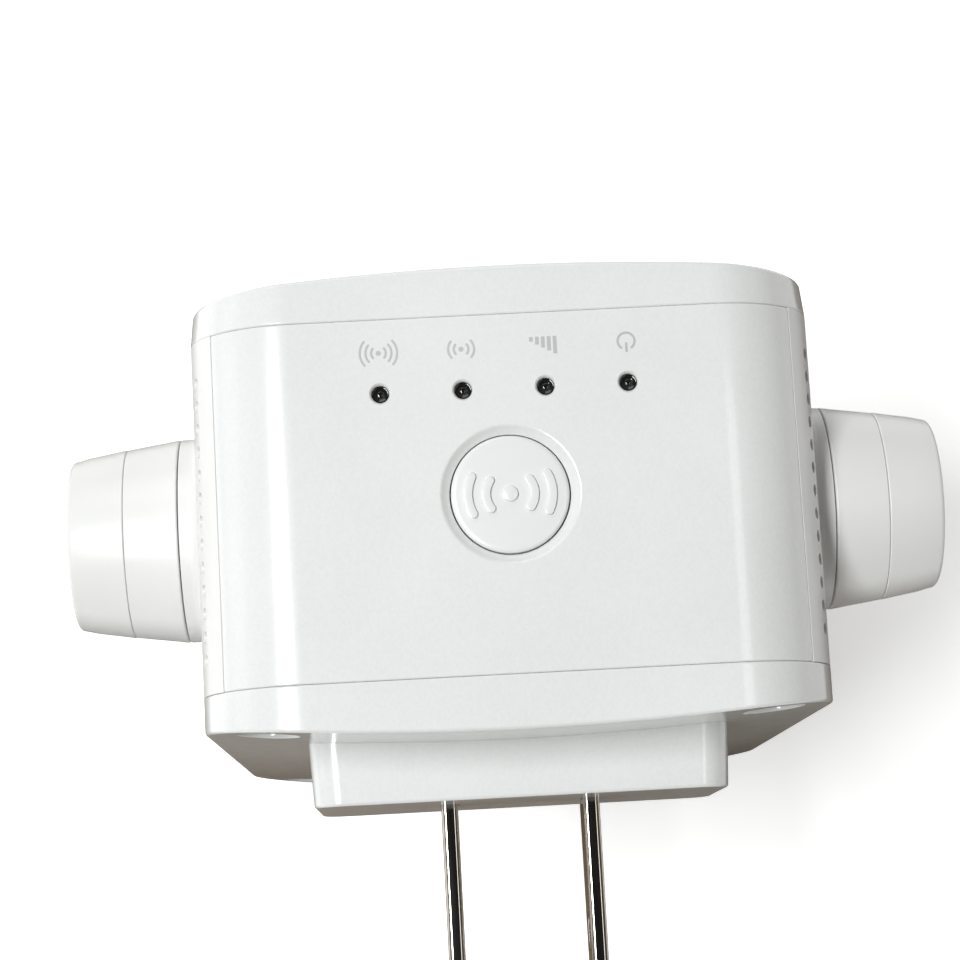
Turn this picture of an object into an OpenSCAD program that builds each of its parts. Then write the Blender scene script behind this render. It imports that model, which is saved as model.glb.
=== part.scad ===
// Plug-in wireless range extender with two swivelling side antennas.
// The origin is the centre of the plug face, midway between the two blades.
// +Y points into the wall socket, -Y into the room, +Z is up. All sizes are in millimetres.

/* [Housing] */
// Width of the housing, side to side
body_w = 54; // [52:1:60]
// Height of the housing
body_h = 78; // [76:1:84]
// Height of the housing's top face above the blade centres
top_z = 23; // [22:0.5:26]
// Radius of the four long corners
corner_r = 9; // [8:0.5:10]
// Thickness of the moulded walls
wall = 2; // [1.8:0.1:2.2]
// Distance from the plug face to the crest of the front face
front_reach = 44.6; // [44:0.2:47]
// Distance from the plug face to the seam of the front cover
front_seam = 40.2; // [39.5:0.1:41]
// Distance from the plug face to the seam of the rear cover
rear_seam = 9.6; // [9.4:0.1:10]
// Radius of the crowned front face
front_crown_r = 242; // [200:2:300]
// Radius of the crowned rear face
rear_crown_r = 266; // [220:2:320]
// Angle from the vertical at which the top panel meets the sides
panel_angle = 50; // [45:1:55]
// Gap at each seam between mouldings
seam_gap = 0.1; // [0.06:0.02:0.14]

/* [Plug] */
// How far the plug block stands out of the rear cover
block_out = 5; // [4.6:0.2:6]
// Width of the plug block at its face
block_w = 36.4; // [34:0.2:38]
// Height of the plug block at its face
block_h = 21; // [19:0.5:23]
// Spacing of the two blades
blade_pitch = 12.7; // [12.7:0.1:12.7]
// Length of the blades beyond the plug face
blade_len = 17.5; // [16:0.1:18.2]

/* [Button and lights] */
// Radius of the pairing button
button_r = 5; // [4.6:0.1:5.3]
// Distance from the plug face to the button's centre
button_back = 24.75; // [24.5:0.05:25]
// Travel of the button
button_travel = 0.5; // [0.3:0.05:0.5]
// Spacing of the indicator lights
light_pitch = 7; // [6.5:0.1:7.2]
// Distance from the plug face to the row of lights
light_back = 33.8; // [33.6:0.1:34]

/* [Antennas] */
// Height of the antenna pivots above the blade centres
pivot_z = 3; // [1:0.5:4]
// Distance from the plug face to the antenna pivots
pivot_back = 25; // [24.8:0.1:25.2]
// Length from the pivot to the antenna's tip
antenna_len = 60; // [56:1:72]
// Radius of the antenna hub at its inner face
hub_r = 9.2; // [8.9:0.05:9.4]
// Radius of the antenna tip at its inner face
tip_r = 6.7; // [6.2:0.1:7]
// Forward lean of the antennas from straight down
antenna_lean = 8; // [0:1:90]

/* [Vents] */
// Spacing of the vent holes
vent_pitch = 2; // [1.9:0.05:2.1]
// Radius of a vent hole
vent_r = 0.52; // [0.4:0.02:0.6]
// Distance from the plug face to the middle of each row of vents
vent_back = 24.6; // [24.4:0.05:24.8]
// Number of vent holes in a row
vent_count = 13; // [9:2:13]

/* [Hidden] */
$fn = 48;

white = "whitesmoke";
centre_z = top_z - body_h / 2;
bottom_z = top_z - body_h;
arc_x = body_w / 2 - corner_r;          // centre of a top corner's arc
arc_z = top_z - corner_r;
side_x = body_w / 2;
back_crest = -block_out;                // crest of the rear face
front_crest = -front_reach;
front_cut = -front_seam;
rear_cut = -rear_seam;
panel_step = 0.6;                       // angle lost at each side seam of the panel

// Rear screws
screw_x = 21.5;
screw_z_top = top_z - 4.8;
screw_z_low = bottom_z + 4.8;
screw_r = 1.2;
post_r = 3;
post_depth = 10;
head_r = 2.3;
recess_r = 2.6;
recess_floor = -7.9;

// Plug block and blades
block_corner = 3;
block_draft = 0.35;
flange = 2;
blade_w = 6.35;
blade_t = 1.5;
blade_fit = 0.05;
tail_w = 3;
tail_end = -14.2;
blade_hole_r = 1.6;
blade_hole_y = 11.9;

// Boards
board_t = 1.6;
main_y = -31;                           // front face of the main board
main_back = main_y + board_t;
power_y = -13.1;                        // front face of the power board
power_top = 14;
power_low = -33;
board_inset = 3;
main_screws = [[-18, 12.5], [18, 12.5], [-18, -36], [18, -36]];
power_screws = [[-18, -29.5], [18, -29.5]];

// Button
button_y = -button_back;
dish_r = button_r + 0.85;
dish_depth = 0.5;
button_gap = 0.15;
cap_top = top_z - 0.15;
icon_up = 0.2;
stem_low = 17;
light_y = -light_back;
light_x = [for (i = [-1.5:1:1.5]) i * light_pitch];

// Antennas
pivot_y = -pivot_back;
collar_out = 1.85;
antenna_in = side_x + 2;                // inner face of an antenna
split_x = side_x + 6.8;
antenna_out = side_x + 11.95;
shell_t = 1.4;
shaft_r = 4;
shaft_fit = 0.05;
shaft_bore = 2.2;
shaft_end = side_x - 6;
groove_r = 3.4;
coax_r = 0.7;
hub_mid_r = hub_r - 0.66;
hub_out_r = hub_r - 1.5;
tip_mid_r = tip_r - 0.66;
tip_out_r = tip_r - 1.5;
edge_round = 0.45;
tip_reach = antenna_len - tip_r;

// Ethernet jack
jack_w = 16;
jack_y0 = main_back;
jack_y1 = -16;
jack_mouth = bottom_z + 0.4;
jack_top = -36.5;
socket_w = 11.8;
socket_y0 = -27;
socket_y1 = -20.2;
socket_top = -42.5;
reset_x = -16;
reset_hole_r = 0.9;
reset_tip = bottom_z + 3.4;

// ---- helpers -------------------------------------------------------------

// Extrudes an outline drawn in X and Z from y0 to y1.
module along_y(y0, y1) {
    translate([0, y1, 0]) rotate([90, 0, 0]) linear_extrude(y1 - y0) children();
}

// Extrudes an outline drawn in Y and Z from x0 to x1.
module along_x(x0, x1) {
    translate([x0, 0, 0]) rotate([90, 0, 90]) linear_extrude(x1 - x0) children();
}

// A box between two corners.
module block(low, high) {
    translate(low) cube(high - low);
}

module rod_x(x0, x1, r, y, z) {
    translate([x0, y, z]) rotate([0, 90, 0]) cylinder(r = r, h = x1 - x0);
}

module rod_y(y0, y1, r, x, z) {
    translate([x, y1, z]) rotate([90, 0, 0]) cylinder(r = r, h = y1 - y0);
}

module rounded_rect(w, h, r) {
    square([w - 2 * r, h], center = true);
    square([w, h - 2 * r], center = true);
    for (x = [-1, 1], y = [-1, 1]) {
        translate([x * (w / 2 - r), y * (h / 2 - r)]) circle(r = r);
    }
}

// The housing's section in X and Z, drawn in by inset.
module section(inset) {
    translate([0, centre_z]) {
        rounded_rect(body_w - 2 * inset, body_h - 2 * inset, corner_r - inset);
    }
}

module wall_ring() {
    difference() {
        section(0);
        section(wall);
    }
}

// The part of the section that the top panel takes up.
module panel_sector(angle) {
    reach = 20;
    dx = reach * sin(angle);
    dz = reach * cos(angle);
    polygon([[-arc_x, arc_z], [arc_x, arc_z], [arc_x + dx, arc_z + dz],
        [arc_x + dx, top_z + reach], [-arc_x - dx, top_z + reach], [-arc_x - dx, arc_z + dz]]);
}

module front_crown(inset) {
    radius = front_crown_r - inset;
    translate([0, front_crest + front_crown_r, bottom_z - 5]) {
        cylinder(r = radius, h = body_h + 10, $fn = 200);
    }
}

module rear_crown(inset) {
    radius = rear_crown_r - inset;
    translate([0, back_crest - rear_crown_r, bottom_z - 5]) {
        cylinder(r = radius, h = body_h + 10, $fn = 200);
    }
}

module screw(x, z, seat, head, shank_r, tip) {
    rod_y(seat, seat + 1.4, head, x, z);
    rod_y(tip, seat, shank_r, x, z);
}

// Mirrors its children to the -X side when side is -1.
module on_side(side) {
    mirror([side < 0 ? 1 : 0, 0, 0]) children();
}

// ---- housing -------------------------------------------------------------

module front_cover() color(white) {
    difference() {
        intersection() {
            along_y(-60, front_cut - seam_gap) section(0);
            front_crown(0);
        }
        intersection() {
            along_y(-60, -30) section(wall);
            front_crown(wall);
        }
    }
    // locating lip inside the sleeve
    difference() {
        along_y(front_cut - 2, front_cut + 3) section(wall + 0.1);
        along_y(front_cut - 3, front_cut + 4) section(wall + 1.1);
    }
    // tie between the lip and the wall
    difference() {
        along_y(front_cut - 2, front_cut - 0.4) section(wall - 0.5);
        along_y(front_cut - 3, front_cut) section(wall + 0.6);
    }
    for (p = main_screws) {
        difference() {
            rod_y(front_crest + 1.5, main_y, 2.6, p[0], p[1]);
            rod_y(main_y - 7, main_y + 1, 0.95, p[0], p[1]);
        }
    }
}

module top_panel() color(white) {
    difference() {
        along_y(front_cut, rear_cut) {
            intersection() {
                wall_ring();
                panel_sector(panel_angle - panel_step);
            }
        }
        translate([0, button_y, top_z - wall - 1]) cylinder(r = button_r + button_gap, h = wall + 2);
        translate([0, button_y, top_z - dish_depth]) {
            cylinder(r1 = button_r + button_gap, r2 = dish_r + 0.02, h = dish_depth + 0.01);
        }
        for (x = light_x) {
            translate([x, light_y, top_z - wall - 1]) cylinder(r = 0.8, h = wall + 2);
            translate([x, light_y, top_z - 0.25]) cylinder(r1 = 0.8, r2 = 1.06, h = 0.26);
        }
    }
}

// Fixed collar around a pivot, blending into the side wall.
module collar() {
    blend = 1;
    translate([side_x, pivot_y, pivot_z]) rotate([0, 90, 0]) rotate_extrude($fn = 96) {
        translate([0, -0.5]) square([hub_r, collar_out + 0.5]);
        difference() {
            translate([0, -0.5]) square([hub_r + blend, blend + 0.5]);
            translate([hub_r + blend, blend]) circle(r = blend);
        }
    }
}

// Post that takes a rear screw, tied to the side wall.
module sleeve_post(x, z, side) {
    along_y(rear_cut - post_depth, rear_cut) {
        difference() {
            intersection() {
                union() {
                    translate([x, z]) circle(r = post_r);
                    translate([side > 0 ? x : -side_x + 1.6, z - 2.6]) {
                        square([side_x - 1.6 - screw_x, 2]);
                    }
                }
                section(wall > 1 ? 1 : wall / 2);
            }
            difference() {
                panel_sector(panel_angle);
                section(wall + 0.1);
            }
            translate([x, z]) circle(r = screw_r + 0.06);
        }
    }
}

vent_rows = concat([arc_z + corner_r * cos(70)], [arc_z + corner_r * cos(70) - vent_pitch],
    [for (i = [0:4]) pivot_z - hub_r - 7 - i * vent_pitch]);

module body_sleeve() color(white) {
    difference() {
        union() {
            along_y(front_cut, rear_cut) {
                difference() {
                    wall_ring();
                    panel_sector(panel_angle);
                }
            }
            for (side = [-1, 1]) on_side(side) collar();
            for (side = [-1, 1]) {
                sleeve_post(side * screw_x, screw_z_top, side);
                sleeve_post(side * screw_x, screw_z_low, side);
            }
        }
        for (side = [-1, 1]) {
            on_side(side) {
                rod_x(side_x - 4, side_x + 3, shaft_r + shaft_fit, pivot_y, pivot_z);
                for (z = vent_rows, i = [0:vent_count - 1]) {
                    y = -vent_back + (i - (vent_count - 1) / 2) * vent_pitch;
                    translate([side_x - 5, y, z]) rotate([0, 90, 0]) {
                        cylinder(r = vent_r, h = 7, $fn = 16);
                    }
                }
            }
        }
        block([-jack_w / 2 - 0.15, jack_y0 - 0.15, bottom_z - 1],
            [jack_w / 2 + 0.15, jack_y1 + 0.15, bottom_z + wall + 1]);
        translate([reset_x, button_y, bottom_z - 1]) cylinder(r = reset_hole_r, h = wall + 2);
    }
}

module rear_cover() color(white) {
    difference() {
        union() {
            difference() {
                intersection() {
                    along_y(rear_cut + seam_gap, 5) section(0);
                    rear_crown(0);
                }
                intersection() {
                    along_y(-30, 5) section(wall);
                    rear_crown(wall);
                }
            }
            for (x = [-screw_x, screw_x], z = [screw_z_top, screw_z_low]) {
                intersection() {
                    rod_y(rear_cut + seam_gap, -6.5, post_r, x, z);
                    along_y(-30, 5) section(0.5);
                }
            }
            for (p = power_screws) {
                rod_y(power_y + board_t, -6.5, 2.2, p[0], p[1]);
            }
        }
        along_y(-30, 5) rounded_rect(block_w + 2 * block_draft + 0.1,
            block_h + 2 * block_draft + 0.1, block_corner);
        for (x = [-screw_x, screw_x], z = [screw_z_top, screw_z_low]) {
            rod_y(-30, 5, screw_r + 0.1, x, z);
            rod_y(recess_floor, 5, recess_r, x, z);
        }
        for (p = power_screws) rod_y(power_y, -7.5, 0.9, p[0], p[1]);
    }
}

module rear_screws() color("silver") {
    for (x = [-screw_x, screw_x], z = [screw_z_top, screw_z_low]) {
        difference() {
            screw(x, z, recess_floor, head_r, screw_r, rear_cut - post_depth + 1.5);
            for (turn = [0, 90]) {
                translate([x, recess_floor + 1.4, z]) rotate([0, turn, 0]) {
                    cube([2.6, 1.4, 0.6], center = true);
                }
            }
        }
    }
}

// ---- plug ----------------------------------------------------------------

module plug_block() color(white) {
    difference() {
        union() {
            hull() {
                along_y(-0.4, 0) rounded_rect(block_w - 0.5, block_h - 0.5, block_corner - 0.25, $fn = 32);
                along_y(-0.8, -0.4) rounded_rect(block_w, block_h, block_corner, $fn = 32);
                along_y(back_crest - 2.5, back_crest - 2) {
                    rounded_rect(block_w + 2 * block_draft, block_h + 2 * block_draft, block_corner, $fn = 32);
                }
            }
            along_y(back_crest - 4, back_crest - 3) {
                rounded_rect(block_w + 2 * flange, block_h + 2 * flange, block_corner);
            }
        }
        for (x = [-1, 1]) {
            block([x * blade_pitch / 2 - blade_t / 2 - blade_fit, -20, -blade_w / 2 - blade_fit],
                [x * blade_pitch / 2 + blade_t / 2 + blade_fit, 1, blade_w / 2 + blade_fit]);
        }
    }
}

// One blade with its solder tail.
module blade(side) color("gainsboro") {
    tip = 1.6;
    along_x(side * blade_pitch / 2 - blade_t / 2, side * blade_pitch / 2 + blade_t / 2) {
        difference() {
            polygon([[back_crest - 4, -blade_w / 2], [blade_len - tip, -blade_w / 2],
                [blade_len, -blade_w / 2 + tip], [blade_len, blade_w / 2 - tip],
                [blade_len - tip, blade_w / 2], [back_crest - 4, blade_w / 2],
                [back_crest - 4, tail_w / 2], [tail_end, tail_w / 2],
                [tail_end, -tail_w / 2], [back_crest - 4, -tail_w / 2]]);
            translate([blade_hole_y, 0]) circle(r = blade_hole_r);
        }
    }
}

module left_blade() blade(-1);
module right_blade() blade(1);

// ---- pairing button and indicator lights ----------------------------------

// Raised mark: a dot with two arcs on each side.
module wave_mark(up) {
    cylinder(r = 0.55, h = up);
    for (side = [0, 180], r = [1.6, 2.9]) rotate([0, 0, side - 35]) {
        rotate_extrude(angle = 70, $fn = 96) translate([r, 0]) square([0.6, up]);
    }
}

module pairing_button() color(white) {
    translate([0, button_y, 0]) {
        difference() {
            union() {
                translate([0, 0, top_z - wall - 0.1]) cylinder(r = button_r, h = cap_top - top_z + wall + 0.1);
                translate([0, 0, top_z - wall - 1.3]) cylinder(r = button_r + 1.2, h = 1.2);
            }
            translate([0, 0, top_z - wall - 1.4]) cylinder(r = button_r - 1.2, h = 2.1);
        }
        translate([0, 0, stem_low]) cylinder(r = 1.6, h = cap_top - stem_low - 0.5);
        translate([0, 0, cap_top - 0.02]) wave_mark(icon_up + 0.02);
    }
}

module pairing_plunger() color("dimgray") {
    translate([0, button_y, stem_low - 1.9]) cylinder(r = 1.7, h = 1.9);
}

// Right-angle push switch standing on the main board, pressed along Z.
module push_switch(x, z, up) {
    translate([x, 0, z]) mirror([0, 0, up > 0 ? 0 : 1]) {
        difference() {
            block([-3, button_y - 3, -3.5], [3, button_y + 3, 0]);
            translate([0, button_y, -1.1]) cylinder(r = 1.8, h = 2);
        }
        for (side = [-1, 1]) {
            block([side * 3.2 - 0.2, main_back, -3.2], [side * 3.2 + 0.2, button_y + 2, -0.6]);
        }
    }
}

module pairing_switch() color("dimgray") {
    push_switch(0, stem_low - 1.5, 1);
}

module light_guide() color("darkslategray", 0.9) {
    for (x = light_x) translate([x, light_y, 17.2]) cylinder(r = 0.75, h = top_z - 0.35 - 17.2);
    block([light_x[0] - 1.8, light_y - 1.3, top_z - wall - 1.2],
        [light_x[3] + 1.8, light_y + 1.3, top_z - wall - 0.1]);
}

module status_lights() color("ivory") {
    for (x = light_x) {
        block([x - 1.5, light_y - 0.9, 14.9], [x + 1.5, main_y, 16.6]);
        translate([x, light_y + 0.1, 16.6]) cylinder(r = 0.6, h = 0.5);
    }
}

// ---- main board ------------------------------------------------------------

module main_board() color("seagreen") {
    difference() {
        along_y(main_y, main_back) {
            difference() {
                intersection() {
                    section(board_inset);
                    translate([-40, bottom_z + 2.6]) square([80, 19 - bottom_z - 2.6]);
                }
                for (side = [-1, 1]) {
                    translate([side * 24, pivot_z]) square([9, 17], center = true);
                }
            }
        }
        for (p = main_screws) rod_y(main_y - 1, main_back + 1, 1.1, p[0], p[1]);
    }
}

module main_board_screws() color("silver") {
    for (p = main_screws) screw(p[0], p[1], main_back, 2, 0.85, main_y - 6);
}

module shield_can(x0, x1, z0, z1, h) {
    difference() {
        block([x0, main_y - h, z0], [x1, main_y, z1]);
        block([x0 + 0.3, main_y - h + 0.3, z0 + 0.3], [x1 - 0.3, main_y + 1, z1 - 0.3]);
    }
}

module processor_shield() color("silver") shield_can(-12, 12, -20, 4, 2.2);

module radio_shield() color("silver") shield_can(-13, 9, -40, -24, 2.2);

module thermal_pad() color("lightsteelblue") {
    block([-8, main_y - 3, -16], [8, main_y - 2.2, 0]);
}

module heat_sink() color("lightgray") {
    block([-11, main_y - 4.4, -19], [11, main_y - 3, 3]);
    for (i = [0:7]) {
        x = -10.6 + i * 2.9;
        block([x, main_y - 9, -19], [x + 0.9, main_y - 4.4, 3]);
    }
}

module board_chips() color("dimgray") {
    block([-7, main_y - 1.2, -14], [7, main_y, -2]);
    block([-11, main_y - 1, -37], [-4, main_y, -30]);
    block([-1, main_y - 1, -37], [6, main_y, -30]);
    block([11.5, main_y - 1.2, -44.5], [19.5, main_y, -39]);
    block([-19.5, main_back, -15.7], [-14.5, main_back + 1.6, -9.7]);
    block([-20, main_back, 7.6], [-13, main_back + 1.1, 9.9]);
    block([14.5, main_back, -30], [20.5, main_back + 2.6, -24]);
}

module crystal() color("gainsboro") {
    along_y(main_y - 3.4, main_y) translate([16.5, -12]) rotate(90) {
        square([6, 3.6], center = true);
        for (end = [-3, 3]) translate([end, 0]) circle(r = 1.8);
    }
}

module coax_sockets() color("goldenrod") {
    for (x = [-16.5, 16.5]) {
        block([x - 1.5, main_back, -7.5], [x + 1.5, main_back + 0.4, -4.5]);
        rod_y(main_back + 0.4, main_back + 1.3, 1, x, -6);
    }
}

// ---- network jack and reset switch -----------------------------------------

module ethernet_jack() color("dimgray") {
    difference() {
        block([-jack_w / 2, jack_y0, jack_mouth], [jack_w / 2, jack_y1, jack_top]);
        block([-socket_w / 2, socket_y0, jack_mouth - 1], [socket_w / 2, socket_y1, socket_top]);
        block([-3.1, socket_y1 - 0.1, jack_mouth - 1], [3.1, socket_y1 + 1.6, socket_top]);
        block([-2, socket_y1 + 1.5, jack_mouth - 1], [2, socket_y1 + 2.8, socket_top + 2]);
        block([-4.4, socket_y0 - 1, jack_mouth + 2], [4.4, socket_y0 + 0.1, socket_top]);
    }
}

module ethernet_contacts() color("goldenrod") {
    for (i = [0:7]) {
        x = (i - 3.5) * 1.02;
        translate([x, socket_y0 - 0.7, socket_top - 0.3]) rotate([-165, 0, 0]) {
            cylinder(r = 0.22, h = 8.5, $fn = 16);
        }
    }
}

module ethernet_transformer() color("dimgray") {
    block([-6.4, main_back, -34.5], [6.4, main_back + 5.6, -27.5]);
    for (side = [-1, 1], i = [0:7]) {
        x = (i - 3.5) * 1.27;
        block([x - 0.2, main_back, -31 + side * 3.5 - 0.7], [x + 0.2, main_back + 0.3, -31 + side * 3.5 + 0.7]);
    }
}

module reset_switch() color("dimgray") {
    push_switch(reset_x, reset_tip + 1.5, -1);
}

module reset_plunger() color("black") {
    translate([reset_x, button_y, reset_tip]) cylinder(r = 1.7, h = 1.9);
}

// ---- power supply ------------------------------------------------------------

module power_board() color("peru") {
    difference() {
        block([-21.5, power_y, power_low], [21.5, power_y + board_t, power_top]);
        for (p = power_screws) rod_y(power_y - 1, power_y + 3, 1.1, p[0], p[1]);
        for (x = [-1, 1]) {
            block([x * blade_pitch / 2 - 0.85, power_y - 1, -1.6],
                [x * blade_pitch / 2 + 0.85, power_y + 3, 1.6]);
        }
    }
}

module power_board_screws() color("silver") {
    for (p = power_screws) {
        rod_y(power_y - 1.4, power_y, 2, p[0], p[1]);
        rod_y(power_y, power_y + 4, 0.8, p[0], p[1]);
    }
}

core_x = 10;
core_z = -14;
core_y = power_y - 7.4;

module transformer_core() color("darkslategray") {
    difference() {
        block([core_x - 8, core_y - 2.5, core_z - 8], [core_x + 8, core_y + 2.5, core_z + 8]);
        for (side = [-1, 1]) {
            z = core_z + side * 4;
            block([core_x - 5, core_y - 3, z - 2], [core_x + 5, core_y + 3, z + 2]);
        }
    }
}

module transformer_winding() color("gold") {
    difference() {
        block([core_x - 4.6, core_y - 5.4, core_z - 5.8], [core_x + 4.6, core_y + 5.4, core_z + 5.8]);
        block([core_x - 6, core_y - 2.6, core_z - 2.1], [core_x + 6, core_y + 2.6, core_z + 2.1]);
    }
    for (side = [-1, 1], i = [-1:1:1]) {
        translate([core_x + side * 4, core_y + 5.3, core_z + i * 4]) rotate([-90, 0, 0]) {
            cylinder(r = 0.35, h = 2.1);
        }
    }
}

// Upright can capacitor with a rolled groove near its board end.
module can(x, z, r, h) {
    translate([x, power_y, z]) rotate([90, 0, 0]) rotate_extrude() {
        difference() {
            square([r, h]);
            translate([r + 0.25, 1.8]) circle(r = 0.6);
            translate([0, h - 0.25]) square([r - 0.9, 1]);
        }
    }
}

module input_capacitors() color("midnightblue") {
    can(-13, -8, 4, 12);
    can(-13, -18, 4, 12);
}

module output_capacitor() color("darkgreen") can(-4.5, -23.5, 3.2, 11);

module fuse() color("saddlebrown") {
    rod_x(-19, -10.5, 1.7, power_y - 1.9, 8);
    for (x = [-18.6, -11.3]) block([x, power_y - 1.9, 7.7], [x + 0.6, power_y, 8.3]);
}

module bridge_rectifier() color("dimgray") {
    block([-3.2, power_y - 2.6, 6], [3.4, power_y, 10.8]);
}

module mains_choke() color("darkslategray") {
    for (y = [0, 4.4]) rod_y(power_y - 1 - y, power_y - y, 3, 11, 8.5);
    rod_y(power_y - 4.6, power_y - 0.8, 2.2, 11, 8.5);
}

module safety_capacitor() color("steelblue") {
    rod_x(17.2, 19.6, 3.2, power_y - 4, 8.5);
    for (z = [6.5, 10.5]) block([18.2, power_y - 3.2, z - 0.3], [18.8, power_y, z + 0.3]);
}

module opto_coupler() color("white") {
    block([-7, power_y - 3.2, -17.2], [-2.2, power_y, -12.2]);
}

module board_header() color("black") {
    for (y = [power_y - 2.5, main_back]) block([-20, y, -23.3], [-17.6, y + 2.5, -16.3]);
    for (i = [0:2]) {
        block([-19.1, main_back, -22.6 + i * 2.54 - 0.02], [-18.5, power_y, -22 + i * 2.54]);
    }
}

module insulating_sheet() color("lightyellow") {
    block([-13.5, -27.7, -26], [13.5, -27.3, 10]);
}

// ---- antennas ----------------------------------------------------------------

// Puts its children, drawn hanging straight down from the pivot axis, at the antenna's rest lean.
module at_pivot() {
    translate([0, pivot_y, pivot_z]) rotate([-antenna_lean, 0, 0]) children();
}

// Solid between a hub disc and a tip disc, from x0 to x1, drafted along X.
module paddle(x0, x1, hub0, hub1, tip0, tip1) {
    hull() {
        translate([x0, 0, 0]) rotate([0, 90, 0]) cylinder(r1 = hub0, r2 = hub1, h = x1 - x0, $fn = 80);
        translate([x0, 0, -tip_reach]) rotate([0, 90, 0]) {
            cylinder(r1 = tip0, r2 = tip1, h = x1 - x0, $fn = 64);
        }
    }
}

module antenna_inner(side) color(white) on_side(side) at_pivot() {
    difference() {
        union() {
            difference() {
                paddle(antenna_in, split_x - 0.03, hub_r, hub_mid_r, tip_r, tip_mid_r);
                paddle(antenna_in + shell_t, split_x + 1, hub_mid_r - shell_t, hub_mid_r - shell_t,
                    tip_mid_r - shell_t, tip_mid_r - shell_t);
            }
            rod_x(shaft_end, antenna_in + shell_t, shaft_r, 0, 0);
        }
        rod_x(shaft_end - 1, antenna_in + 3, shaft_bore, 0, 0);
        difference() {
            rod_x(side_x - 3.5, side_x - 2.4, shaft_r + 1, 0, 0);
            rod_x(side_x - 4, side_x - 2, groove_r, 0, 0);
        }
    }
}

module antenna_outer(side) color(white) on_side(side) at_pivot() {
    difference() {
        union() {
            paddle(split_x + 0.03, antenna_out - edge_round, hub_mid_r, hub_out_r, tip_mid_r, tip_out_r);
            paddle(antenna_out - edge_round - 0.01, antenna_out, hub_out_r, hub_out_r - edge_round,
                tip_out_r, tip_out_r - edge_round);
        }
        paddle(split_x - 1, antenna_out - shell_t, hub_out_r - shell_t, hub_out_r - shell_t,
            tip_out_r - shell_t, tip_out_r - shell_t);
    }
}

// Printed dipole board in the hollow of the antenna.
module radiator(side) color("seagreen") on_side(side) at_pivot() {
    difference() {
        block([split_x - 0.4, -3, -tip_reach - 1], [split_x + 0.4, 3, -14]);
        block([split_x - 1, -0.5, -38], [split_x + 1, 0.5, -16]);
    }
}

module antenna_lead(side) color("dimgray") on_side(side) at_pivot() {
    turn = 2;
    drop_x = split_x - 1.2;
    rod_x(shaft_end + 0.3, drop_x - turn, coax_r, 0, 0);
    translate([drop_x - turn, 0, -turn]) rotate([90, 0, 0]) {
        rotate_extrude(angle = 90) translate([turn, 0]) circle(r = coax_r);
    }
    translate([drop_x, 0, -15.5]) cylinder(r = coax_r, h = 15.5 - turn);
}

module retainer(side) color("silver") on_side(side) at_pivot() {
    difference() {
        rod_x(side_x - 3.45, side_x - 2.45, 5.6, 0, 0);
        rod_x(side_x - 4, side_x - 2, groove_r + 0.05, 0, 0);
    }
}

module washer(side) color("gray") on_side(side) {
    difference() {
        rod_x(side_x - 2.4, side_x - 2.05, 5.4, pivot_y, pivot_z);
        rod_x(side_x - 3, side_x - 1, shaft_r + 0.15, pivot_y, pivot_z);
    }
}

// Fixed run of coax from the end of the pivot shaft down to its socket on the main board.
module coax(side) color("dimgray") on_side(side) {
    turn = 2.5;
    drop_x = 16.5;
    plug_z = -6;
    rod_x(drop_x + turn, shaft_end, coax_r, pivot_y, pivot_z);
    translate([drop_x + turn, pivot_y, pivot_z - turn]) rotate([90, 0, 0]) {
        rotate_extrude(angle = 90, start = 90) translate([turn, 0]) circle(r = coax_r);
    }
    translate([drop_x, pivot_y, plug_z + turn]) cylinder(r = coax_r, h = pivot_z - plug_z - 2 * turn);
    translate([drop_x, pivot_y - turn, plug_z + turn]) rotate([90, 0, 90]) {
        rotate_extrude(angle = 90, start = -90) translate([turn, 0]) circle(r = coax_r);
    }
    rod_y(main_back + 1.4, pivot_y - turn, 1.3, drop_x, plug_z);
}

module left_antenna_inner() antenna_inner(-1);
module left_antenna_outer() antenna_outer(-1);
module left_radiator() radiator(-1);
module left_antenna_lead() antenna_lead(-1);
module left_retainer() retainer(-1);
module left_washer() washer(-1);
module left_coax() coax(-1);
module right_antenna_inner() antenna_inner(1);
module right_antenna_outer() antenna_outer(1);
module right_radiator() radiator(1);
module right_antenna_lead() antenna_lead(1);
module right_retainer() retainer(1);
module right_washer() washer(1);
module right_coax() coax(1);

front_cover();
top_panel();
body_sleeve();
rear_cover();
plug_block();
left_blade();
right_blade();
rear_screws();
pairing_button();
pairing_plunger();
pairing_switch();
light_guide();
status_lights();
main_board();
main_board_screws();
processor_shield();
radio_shield();
heat_sink();
thermal_pad();
board_chips();
crystal();
coax_sockets();
ethernet_jack();
ethernet_contacts();
ethernet_transformer();
reset_switch();
reset_plunger();
power_board();
power_board_screws();
transformer_core();
transformer_winding();
input_capacitors();
output_capacitor();
fuse();
bridge_rectifier();
mains_choke();
safety_capacitor();
opto_coupler();
board_header();
insulating_sheet();
left_antenna_inner();
left_antenna_outer();
left_radiator();
left_antenna_lead();
left_retainer();
left_washer();
left_coax();
right_antenna_inner();
right_antenna_outer();
right_radiator();
right_antenna_lead();
right_retainer();
right_washer();
right_coax();
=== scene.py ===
"""Looks of the plug-in wireless range extender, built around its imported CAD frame.

Sizes of pieces are in millimetres in the part's frame, and the mesh helpers turn them into
metres. The stage and its lights are in metres.
"""

import math

import bmesh
import bpy
from mathutils import Matrix, Vector


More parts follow.
